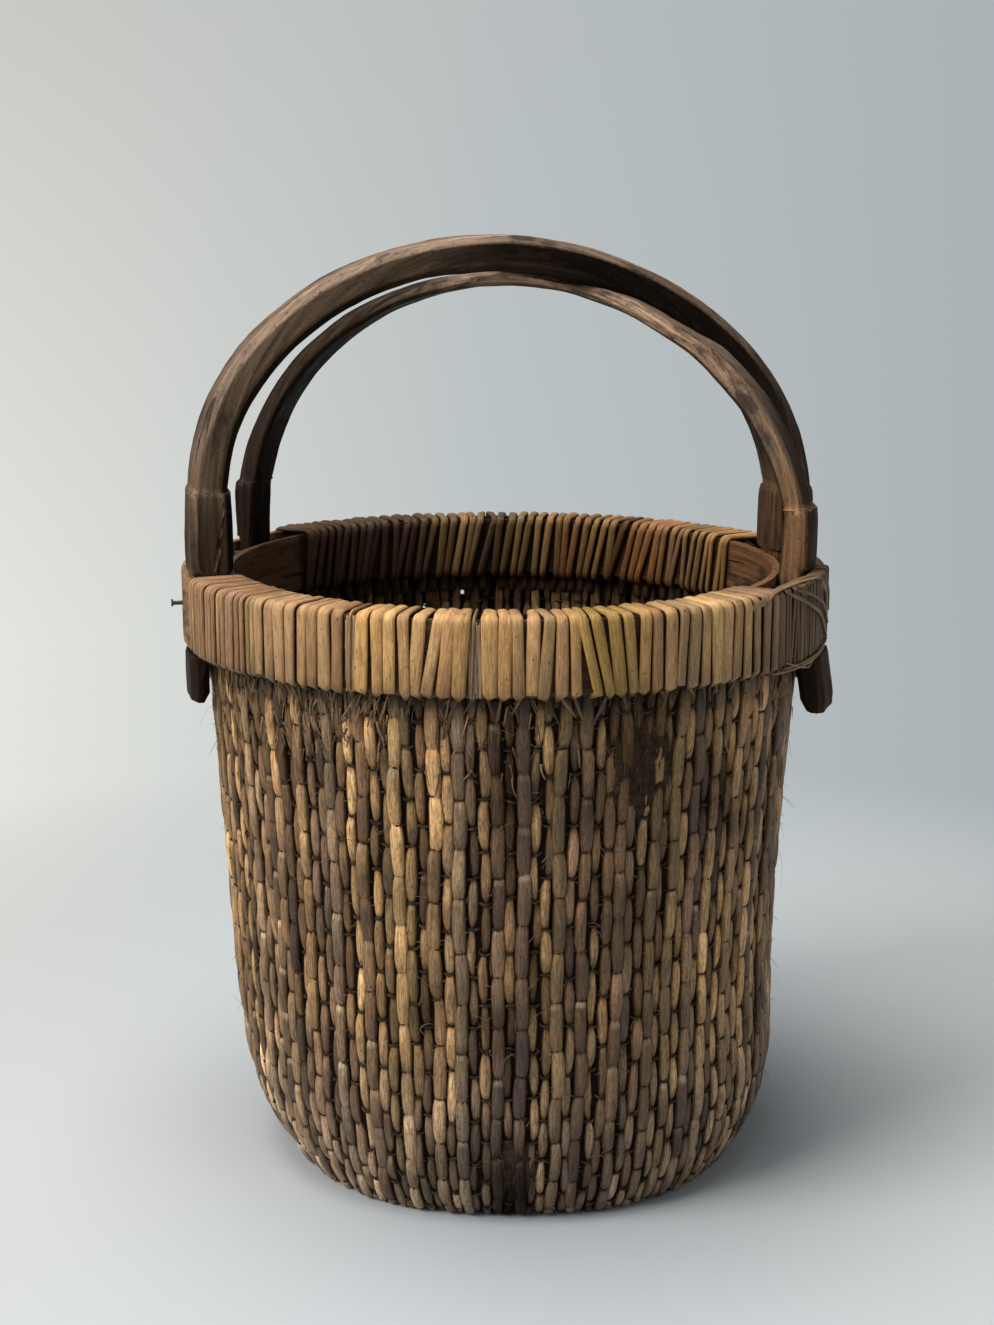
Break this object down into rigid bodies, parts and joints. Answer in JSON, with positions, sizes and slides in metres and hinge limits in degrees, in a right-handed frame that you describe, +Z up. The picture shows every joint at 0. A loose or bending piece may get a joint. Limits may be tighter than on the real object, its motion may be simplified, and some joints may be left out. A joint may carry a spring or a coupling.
{
  "type": "harvest basket",
  "caption": "Round woven willow harvest basket with a split-willow bound rim and two crossed bentwood handle bows.",
  "frame": {"origin": "on the flat underside of the base, below the centre of the rim", "axes": "+Z up, +X to the right along the handle's span, +Y to the back"},
  "size_m": [0.357, 0.345, 0.5043],
  "materials": {
    "willow_rods": "aged willow, satin",
    "bent_wood": "worn, satin",
    "bent_wood_dark": "worn, satin",
    "hoop_slat": "matte",
    "binding_front": "peeled split, satin",
    "binding_back": "peeled split, satin",
    "lashing": "matte",
    "nail_iron": "rusted"
  },
  "bodies": {
    "root": {"willow_wall": "willow_rods", "willow_foot": "willow_rods", "willow_base": "willow_rods", "inner_hoop": "hoop_slat", "outer_hoop": "hoop_slat", "outer_handle_bow": "bent_wood", "inner_handle_bow": "bent_wood_dark", "hoop_nail": "nail_iron", "right_lashing": "lashing", "rim_binding_front_1": "binding_front", "rim_binding_back_1": "binding_back", "rim_binding_front_2": "binding_front", "rim_binding_back_2": "binding_back", "rim_binding_front_3": "binding_front", "rim_binding_back_3": "binding_back", "rim_binding_front_4": "binding_front", "rim_binding_back_4": "binding_back", "rim_binding_front_5": "binding_front", "rim_binding_back_5": "binding_back"}
  },
  "joints": []
}
